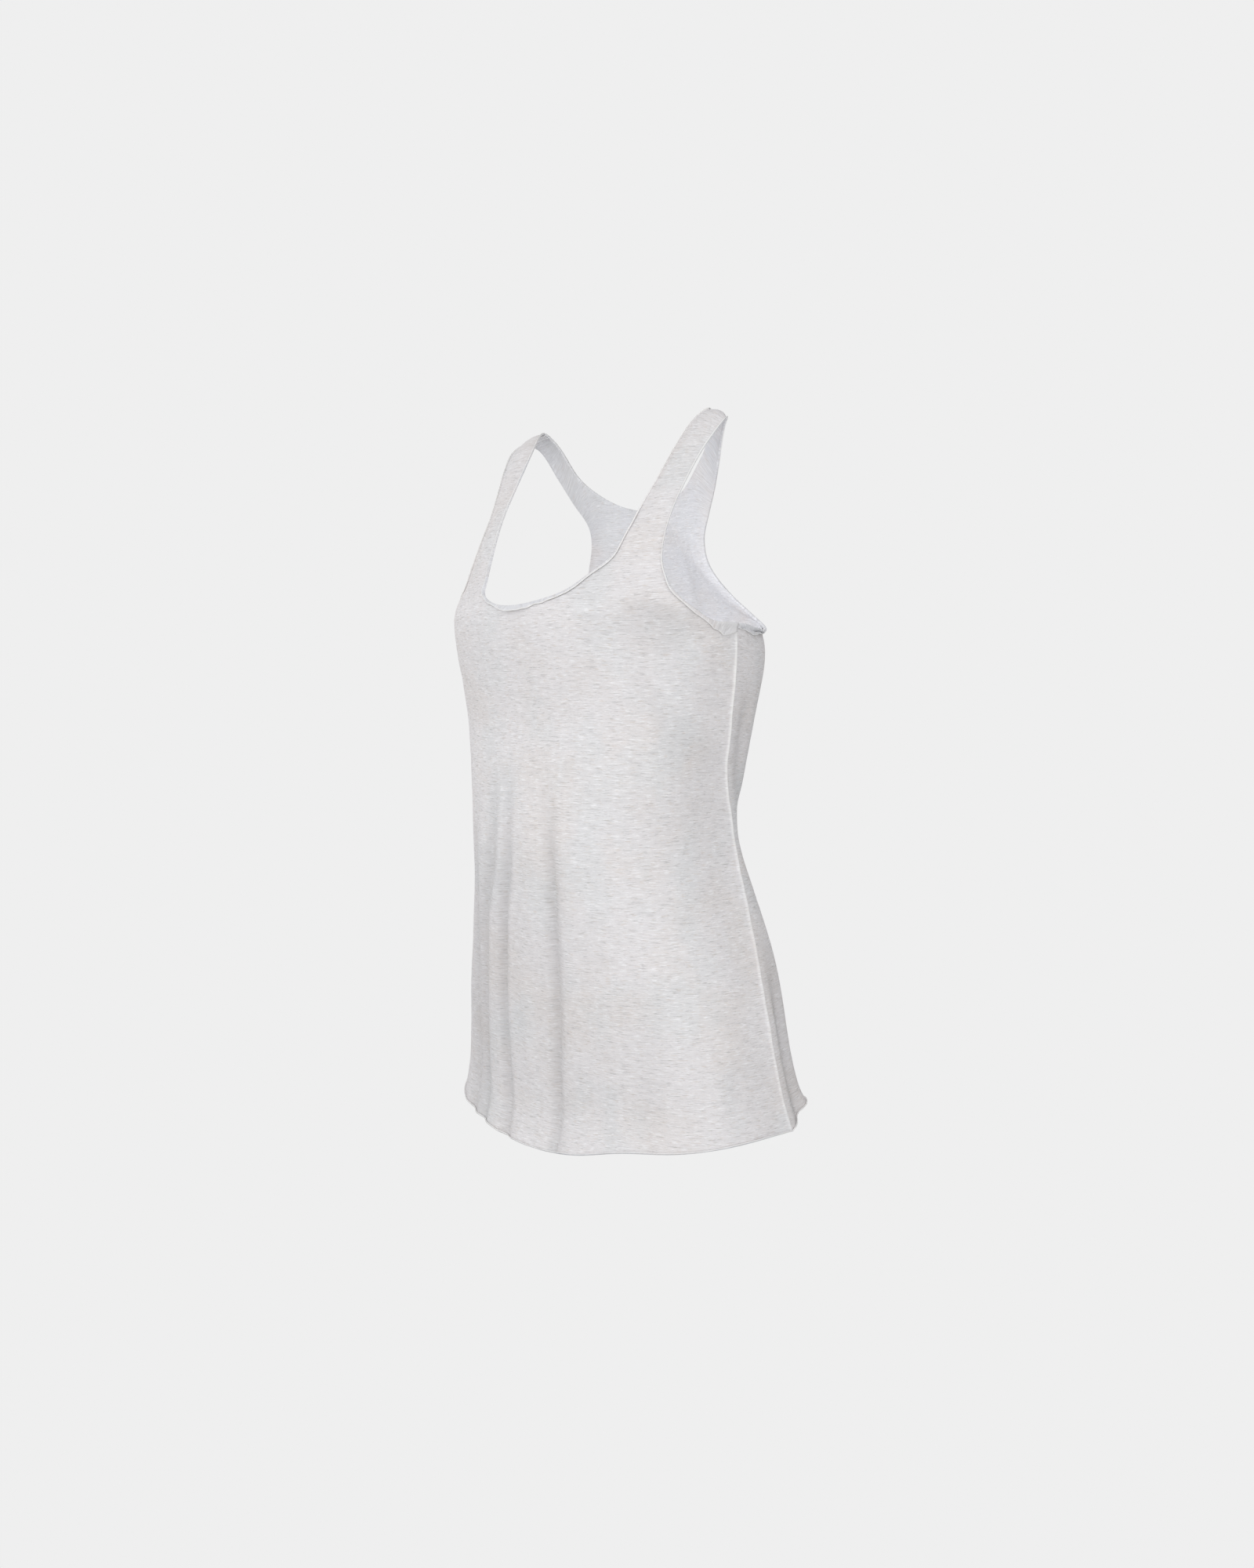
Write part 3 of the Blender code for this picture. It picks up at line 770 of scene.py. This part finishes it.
def riseHeight(side, kind):
    # the sum of height * exp(-((run - place) / spread)^2) along the edge
    run = edgeLines[side, kind]["run"]
    total = np.zeros(len(run))
    for place, spread, height in rises.get((side, kind), ()):
        total += height * np.exp(-((run - place) / spread) ** 2)
    return total


def pullIn(side, grid):
    # Each point moves in from its nearest edge by (1 - distance / reach)^2 of the roll's radius,
    # and out by the same share, with a longer reach, of the edge's rise.
    chunk = 2000                # points compared with an edge at a time
    moved = grid.copy()
    for kind in ("hem", "arm", "neck"):
        edge = edgeLines[side, kind]
        flat = grid.reshape(-1, 3)
        close = np.zeros(len(flat), dtype=int)
        away = np.full(len(flat), np.inf)
        for start in range(0, len(flat), chunk):
            part = np.linalg.norm(flat[start:start + chunk, None] - edge["line"][None], axis=-1)
            close[start:start + chunk] = part.argmin(axis=1)
            away[start:start + chunk] = part.min(axis=1)
        draw = edge["radius"][close] * np.clip(1 - away / roll["pullReach"], 0.0, 1.0) ** 2
        draw -= riseHeight(side, kind)[close] * np.clip(1 - away / roll["riseReach"], 0.0, 1.0) ** 2
        moved -= (edge["out"][close] * draw[:, None]).reshape(grid.shape)
    # points on the centre line stay on it
    moved[:, 0, 0] = np.where(raw[side]["grid"][:, 0, 0] < 1e-9, 0.0, moved[:, 0, 0])
    return moved


def seamAway(grid):
    # distance along each row from its outer end, which is the side seam below the armhole
    return runs(grid[:, ::-1])[:, ::-1]


def paintedShadeShare(side, mirror, grid):
    # painted shade: how far inside a fold each point lies, 1 - exp(depth / deep), from the troughs
    # alone
    plain, beside = ([row for row in rows[side] if row[1] < 0] for rows in (folds, seamFolds))
    depth = foldDepth(grid[..., [0, 2]], plain, paintedShades["widen"])
    places = np.stack([mirror * seamAway(grid), grid[..., 2]], axis=-1)
    depth += foldDepth(places, beside, paintedShades["widen"])
    return 1 - np.exp(depth / paintedShades["deep"])


def dressed(side, mirror):
    # one half of a panel in its final place: drawn in at its edges, its hem lifted, then moved
    # along its normals by its folds, and its seam's ridge and pinch
    own = raw[side]
    flip = np.array([mirror, 1.0, 1.0])
    grid = pullIn(side, own["grid"]) * flip
    place, spread, height = hemLifts[side]
    across, up = own["grid"][..., 0], own["grid"][..., 2] - own["grid"][:1, :, 2]
    lift = height[mirror] * np.exp(-((across - place) / spread) ** 2) * ramp(across, 0.0, centreReach)
    grid[..., 2] += lift * np.clip(1 - up / hemLiftReach, 0.0, 1.0) ** 2
    normal = outNormals(side, grid * flip) * flip
    rows = np.arange(len(grid))
    below, belowSoft = (1 - ramp(rows, seamRow[side] - sideSeam[fade], sideSeam[fade])[:, None]
                        for fade in ("seamRows", "pinchRows"))
    away = seamAway(grid)

    depth = foldDepth(grid[..., [0, 2]], folds[side])
    depth += foldDepth(np.stack([mirror * away, grid[..., 2]], axis=-1), seamFolds[side])
    inner = np.clip(away / uneven["seamReach"], 0.0, 1.0)
    depth += uneven["depth"] * waves(grid, uneven["pitch"]) * inner
    if side == front:
        ridge = 1 + sideSeam["ridgeUneven"] * waves(grid, sideSeam["ridgePitch"], 1.0)
        aside = (away - sideSeam["ridgeAway"]) / sideSeam["ridgeWidth"]
        depth += below * (sideSeam["ridge"] * ridge) * np.exp(-aside ** 2)
    else:
        depth -= below * sideSeam["groove"] * np.exp(-(away / sideSeam["grooveWidth"]) ** 2)
    pinch = sideSeam["pinch"][side] * (1 - np.exp(-away / sideSeam["pinchReach"]))
    depth -= belowSoft * pinch * np.exp(-(away / sideSeam["pinchFade"]) ** 2)
    grid = grid + normal * depth[..., None]

    sway = sideSeam["wander"] * waves(grid[:, -1], sideSeam["wanderPitch"], 2.0)
    grid[..., 1] += below * sway[:, None] * np.exp(-(away / sideSeam["wanderReach"]) ** 2)
    grid[:seamRow[side] + 1, -1, 1] += outward[side] * 0.5 * gap
    return grid


def curl(start, out, normal, radius, turn, flap):
    # a bend, whose steps go along cos a * out + sin a * normal, and then a straight flap
    steps = roll["steps"]
    angle = (np.arange(steps) + 0.5) / steps
    bend = np.radians(turn)[:, None] * angle[None]
    size = radius[:, None] * (1 - roll["tighten"] * angle[None])
    size = size * (np.radians(turn) / steps)[:, None]
    bend = np.hstack([bend, np.repeat(np.radians(turn)[:, None], roll["flapSteps"], axis=1)])
    size = np.hstack([size, np.repeat(flap[:, None] / roll["flapSteps"], roll["flapSteps"], axis=1)])
    move = (np.cos(bend) * size)[..., None] * out[:, None]
    move = move + (np.sin(bend) * size)[..., None] * normal[:, None]
    return start[:, None] + np.cumsum(move, axis=1)


def edgeCurl(side, kind, mirror, start, cloth):
    # the turned edge; a point of its flap that would lie less than the clear distance off the
    # given cloth is moved out along the normal of the cloth's nearest point
    edge = edgeLines[side, kind]
    flip = np.array([mirror, 1.0, 1.0])
    radius = edge["radius"] * (1 + roll["uneven"] * waves(start, roll["pitch"], 3.0))
    turn = edge["turn"] * (1 + roll["turnUneven"] * waves(start, roll["turnPitch"], 4.0))
    flap = edge["flap"] * (1 + roll["flapUneven"] * waves(start, roll["flapPitch"], 6.0))
    if (side, kind) in lobes:
        place, spread, width = lobes[side, kind]
        aside = edge["run"] * (mirror if kind == "neck" else 1.0) - place
        wavy = 1 + lobeUneven * waves(start, lobePitch, 7.0)
        flap += width * np.exp(-(aside / spread) ** 2) * wavy
    curled = curl(start, edge["out"] * flip, edge["normal"] * flip, radius, turn, flap)
    under = cloth.reshape(-1, 3)
    facing = (outNormals(side, cloth * flip) * flip).reshape(-1, 3)
    for step in range(roll["steps"], curled.shape[1]):
        point = curled[:, step]
        close = np.linalg.norm(point[:, None] - under[None], axis=-1).argmin(axis=1)
        off = ((point - under[close]) * facing[close]).sum(axis=-1)
        curled[:, step] += facing[close] * np.maximum(roll["clear"] - off, 0.0)[:, None]
    return np.concatenate([start[:, None], curled], axis=1)


def clothPlace(side, grid, at):
    # places in the flat cloth, in metres: across, the level distance from the centre line; up,
    # the height, and on the strap the distance along it
    across = runs(grid[..., :2]) + np.abs(grid[:, :1, 0])
    middle = grid[:, grid.shape[1] // 2]
    run = runs(middle)
    strapRow = int(np.argmin(np.abs(at - strapStation[side])))
    onStrap = middle[strapRow, 2] + run - run[strapRow]
    share = ramp(at, strapStation[side], strapFade)[:, None]
    up = grid[..., 2] * (1 - share) + onStrap[:, None] * share
    return np.stack([across, up], axis=-1)


class Patches:
    # gathers grids of points with their cloth places, and their shares of painted highlight and
    # painted shade, into one mesh
    def __init__(self):
        self.points, self.faces, self.places, self.raws, self.paintedShades = [], [], [], [], []
        self.count = 0

    def addGrid(self, points, places, paintedHighlightShare, flipped, paintedShade=0.0):
        # one quad between each four neighbouring points
        rows, cols = points.shape[:2]
        start = (np.arange(rows - 1)[:, None] * cols + np.arange(cols - 1)[None]).ravel()
        start = start + self.count
        quads = np.stack([start, start + 1, start + cols + 1, start + cols], axis=-1)
        self.faces.append(quads[:, ::-1] if flipped else quads)
        self.points.append(points.reshape(-1, 3))
        self.places.append(places.reshape(-1, 2))
        self.raws.append(np.broadcast_to(paintedHighlightShare, (rows, cols)).ravel())
        self.paintedShades.append(np.broadcast_to(paintedShade, (rows, cols)).ravel())
        self.count += rows * cols

    def build(self, name):
        # all grids as one object, with the cloth places as its UV map "cloth"
        mesh = bpy.data.meshes.new(name)
        faces = np.vstack(self.faces)
        mesh.from_pydata(np.vstack(self.points).tolist(), [], faces.tolist())
        place = mesh.uv_layers.new(name="cloth")
        cornerPlaces = np.vstack(self.places)[faces.ravel()]
        place.data.foreach_set("uv", cornerPlaces.ravel().astype(np.float32))
        # the shares of painted highlight and painted shade, as point attributes
        for label, shares in (("paintedEdgeHighlight", self.raws), ("paintedShade", self.paintedShades)):
            held = mesh.attributes.new(label, "FLOAT", "POINT")
            held.data.foreach_set("value", np.concatenate(shares).astype(np.float32))
        mesh.shade_smooth()
        piece = bpy.data.objects.new(name, mesh)
        bpy.context.scene.collection.objects.link(piece)
        return piece


def turnedUnder(line, out, normal, look, ripple):
    # half a circle of steps, flattened along the cloth, and a strip that runs back under it
    angle = (np.arange(look["bends"]) + 0.5) / look["bends"] * math.pi
    step = look["turnRadius"] * math.pi / look["bends"]
    move = (np.cos(angle) * step)[None, :, None] * look["flatten"] * out[:, None]
    move = move - (np.sin(angle) * step)[None, :, None] * normal[:, None]
    bent = line[:, None] + np.cumsum(move, axis=1)
    share = np.linspace(0, 1, look["stripColumns"] + 1)[1:]
    flat = bent[:, -1:] - out[:, None] * (share * look["allowance"])[None, :, None]
    flat = flat + normal[:, None] * (ripple[:, None] * share[None])[..., None]
    return np.concatenate([line[:, None], bent, flat], axis=1)


def sideTurn(side, mirror, grid):
    # the edge at the side seam turns in and runs back under its own panel as the allowance
    last = seamRow[side]
    line, inside = grid[:last + 1, -1], grid[:last + 1, -3]
    along = unit(np.gradient(line, axis=0))
    out = unit(line - inside)
    out = unit(out - along * (out * along).sum(axis=-1, keepdims=True))
    normal = raw[side]["normal"][:last + 1, -1] * np.array([mirror, 1.0, 1.0])
    normal = unit(normal - out * (normal * out).sum(axis=-1, keepdims=True))
    ripple = sideSeam["ripple"] * waves(line, sideSeam["ripplePitch"], 5.0)
    return turnedUnder(line, out, normal, sideSeam, ripple)


def shoulderTurn(grid):
    # the same at the strap's end
    line, inside = grid[-1], grid[-3]
    out = unit(line - inside)
    normal = unit(np.cross(unit(np.gradient(line, axis=0)), out))
    normal *= np.sign((normal[:, 2:3]).mean())
    return turnedUnder(line, out, normal, shoulderSeam, np.zeros(len(line)))


def extend(points, places, away):
    # cloth places of an edge's added columns, which go on from the edge
    return places[:, None] + runs(points)[..., None] * np.array(away)


def cutEdgeHighlight(points):
    # the share of painted highlight along the last stretch of a curl, at its cut edge
    run = runs(points)
    return np.clip(1 - (run[:, -1:] - run) / roll["highlightWidth"], 0.0, 1.0)


def addCurl(patches, side, kind, mirror, start, under, places, away, flipped):
    # a curled edge, from its line of points, over the cloth under it; its cloth places go on away
    curled = edgeCurl(side, kind, mirror, start, under)
    # painted highlight at the curl's cut edge
    patches.addGrid(curled, extend(curled, places, away), cutEdgeHighlight(curled), flipped)


def paintedSeamHighlight(grid):
    # the share of painted highlight on the front's edge: exp(-(distance / width)^2) beside the
    # side seam's ridge, less towards the hem
    fade = sideSeam["seamRows"]
    below = 1 - ramp(np.arange(len(grid)), seamRow[front] - fade, fade)[:, None]
    width = sideSeam["paleWidth"] * sideSeam["ridgeWidth"]
    aside = (seamAway(grid) - sideSeam["ridgeAway"]) / width
    faded = 1 - sideSeam["paler"] * ramp(-grid[..., 2], *sideSeam["paleFade"])
    return below * np.exp(-aside ** 2) * sideSeam["pale"] * faded


def makePanel(name, side):
    # both halves of a panel, their curled edges and turned seams, joined and given their thickness
    patches = Patches()
    own = raw[side]
    armRow, scoopRow = seamRow[side], neckRow[side]
    for mirror in (1.0, -1.0):
        grid = dressed(side, mirror)
        grid[-1, :, 1] += outward[side] * 0.5 * gap
        place = clothPlace(side, own["grid"], own["at"])
        place[..., 0] *= mirror
        place += np.array(clothShift[side])
        flipped = mirror * outward[side] > 0
        # painted highlight along the front's side-seam ridge
        seamHighlight = paintedSeamHighlight(grid) if side == front else 0.0
        # painted shade in the folds' troughs
        patches.addGrid(grid, place, seamHighlight, flipped, paintedShadeShare(side, mirror, grid))

        (armRows, armColumns), (neckRows, neckColumns) = roll["underArm"], roll["underNeck"]
        underArm = grid[armRow - armRows:, -armColumns:]
        underNeck = grid[scoopRow - neckRows:, :neckColumns]
        addCurl(patches, side, "arm", mirror, grid[armRow:, -1], underArm,
                place[armRow:, -1], (mirror, 0.0), flipped)
        addCurl(patches, side, "neck", mirror, grid[scoopRow:, 0], underNeck,
                place[scoopRow:, 0], (-mirror, 0.0), not flipped)
        addCurl(patches, side, "hem", mirror, grid[0], grid[:roll["underHem"]],
                place[0], (0.0, -1.0), flipped)
        turned = sideTurn(side, mirror, grid)
        turnPlace = extend(turned, place[:armRow + 1, -1], (mirror, 0.0))
        # painted highlight on the turned edge, fading across the turn
        turnHighlight = np.linspace(sideSeam["turnPale"][side], 0.0, turned.shape[1])[None]
        patches.addGrid(turned, turnPlace, turnHighlight, flipped)
        ended = shoulderTurn(grid)
        patches.addGrid(ended, extend(ended, place[-1], (0.0, 1.0)), 0.0, not flipped)

    piece = patches.build(name)
    piece.data.materials.append(faceMaterial)
    piece.data.materials.append(reverseMaterial)
    weld = piece.modifiers.new("weld", "WELD")
    weld.merge_threshold = weldReach
    shell = piece.modifiers.new("shell", "SOLIDIFY")
    shell.thickness = wall
    shell.offset = 0.0
    shell.material_offset = 1
    shell.material_offset_rim = 0
    return piece


frontPanel = makePanel("front_cloth", front)
backPanel = makePanel("back_cloth", back)
for piece, node in ((frontPanel, "front_panel"), (backPanel, "back_panel")):
    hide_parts(node)
    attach(piece, "root")
print("panels made")


studio = {
    "paper": 0.863,             # the plain pale of floor and backdrop
    "roomLight": 0.95,
    "floorBelow": 1.40,         # how far below the origin the floor lies,
    "floorSize": 16.0,          # and how wide the box of paper over it is
    "keyAim": (0.0, 0.0, -0.33),
    "keySize": 1.6,
    # each key light's place and power
    "keys": (((0.0, -2.255, 0.491), 4.5), ((2.239, -0.600, 0.191), 5.3)),
    # small lights inside the garment: places and powers
    "insides": (((0.080, -0.048, -0.19), 0.150), ((0.0, -0.070, -0.20), 0.058),
                ((0.0, -0.035, -0.30), 0.070)),
    "insideSize": 0.05,
    # dark flags, which the camera doesn't see, take light off the back's left side and off the
    # right side below the waist: places, widths and heights
    "flags": (((0.72, 1.03, -0.33), 1.25, 3.0), ((-0.60, -0.25, -0.50), 0.32, 0.50)),
    # the same, lying level, above and below the garment: heights and widths
    "cards": ((0.22, 0.22), (-0.95, 0.80)),
}


def glow(name, strength):
    # an evenly bright paper that reflects nothing
    return Board(name).finish({
        "Base Color": (0.0, 0.0, 0.0, 1.0),
        "Specular IOR Level": 0.0,
        "Roughness": 1.0,
        "Emission Color": (1.0, 1.0, 1.0, 1.0),
        "Emission Strength": strength,
    })


def stagePiece(name, points, faces, material):
    # a mesh of the room, which is no part of the garment
    mesh = bpy.data.meshes.new(name)
    mesh.from_pydata(points, [], faces)
    mesh.materials.append(material)
    piece = bpy.data.objects.new(name, mesh)
    bpy.context.scene.collection.objects.link(piece)
    return piece


def makeLight(name, kind, place, power, size):
    # a lamp of the given kind, turned to face keyAim
    data = bpy.data.lights.new(name, kind)
    data.energy = power
    setattr(data, {"AREA": "size", "POINT": "shadow_soft_size"}[kind], size)
    lamp = bpy.data.objects.new(name, data)
    bpy.context.scene.collection.objects.link(lamp)
    lamp.location = place
    away = Vector(place) - Vector(studio["keyAim"])
    lamp.rotation_euler = away.to_track_quat("Z", "Y").to_euler()
    lamp.visible_camera = False


corners, oneFace = ((-1, -1), (1, -1), (1, 1), (-1, 1)), [(0, 1, 2, 3)]
boxFaces = [(0, 1, 5, 4), (1, 2, 6, 5), (2, 3, 7, 6), (3, 0, 4, 7), (4, 5, 6, 7)]
half, ground, top = studio["floorSize"] / 2, -studio["floorBelow"], studio["floorSize"]
floorPoints, topPoints = ([(x * half, y * half, z) for x, y in corners] for z in (ground, top))
paper, dark = glow("paper", studio["paper"]), glow("flag", 0.0)
floor = stagePiece("floor", floorPoints, oneFace, paper)
backdrop = stagePiece("backdrop", floorPoints + topPoints, boxFaces, paper)
for piece in (floor, backdrop):
    piece.visible_diffuse = False
    piece.visible_glossy = False
    piece.visible_shadow = False
for i, (place, wide, high) in enumerate(studio["flags"]):
    points = [(x * wide / 2, 0, z * high / 2) for x, z in corners]
    flag = stagePiece(f"flag_{i}", points, oneFace, dark)
    flag.location = place
    flag.rotation_euler = (0, 0, math.atan2(-place[0], place[1]))      # faces the garment
    flag.visible_camera = False
for i, (level, wide) in enumerate(studio["cards"]):
    points = [(x * wide / 2, y * wide / 2, level) for x, y in corners]
    card = stagePiece(f"card_{i}", points, oneFace, dark)
    card.visible_camera = False

world = bpy.data.worlds.new("room")
bpy.context.scene.world = world
world.use_nodes = True
room = world.node_tree.nodes["Background"].inputs
room["Color"].default_value = (1.0, 1.0, 1.0, 1.0)
room["Strength"].default_value = studio["roomLight"]
for i, (place, power) in enumerate(studio["keys"]):
    makeLight(f"key_{i}", "AREA", place, power, studio["keySize"])
for i, (place, power) in enumerate(studio["insides"]):
    makeLight(f"inside_{i}", "POINT", place, power, studio["insideSize"])
bpy.context.scene.view_settings.view_transform = "Standard"
print("stage and light set")
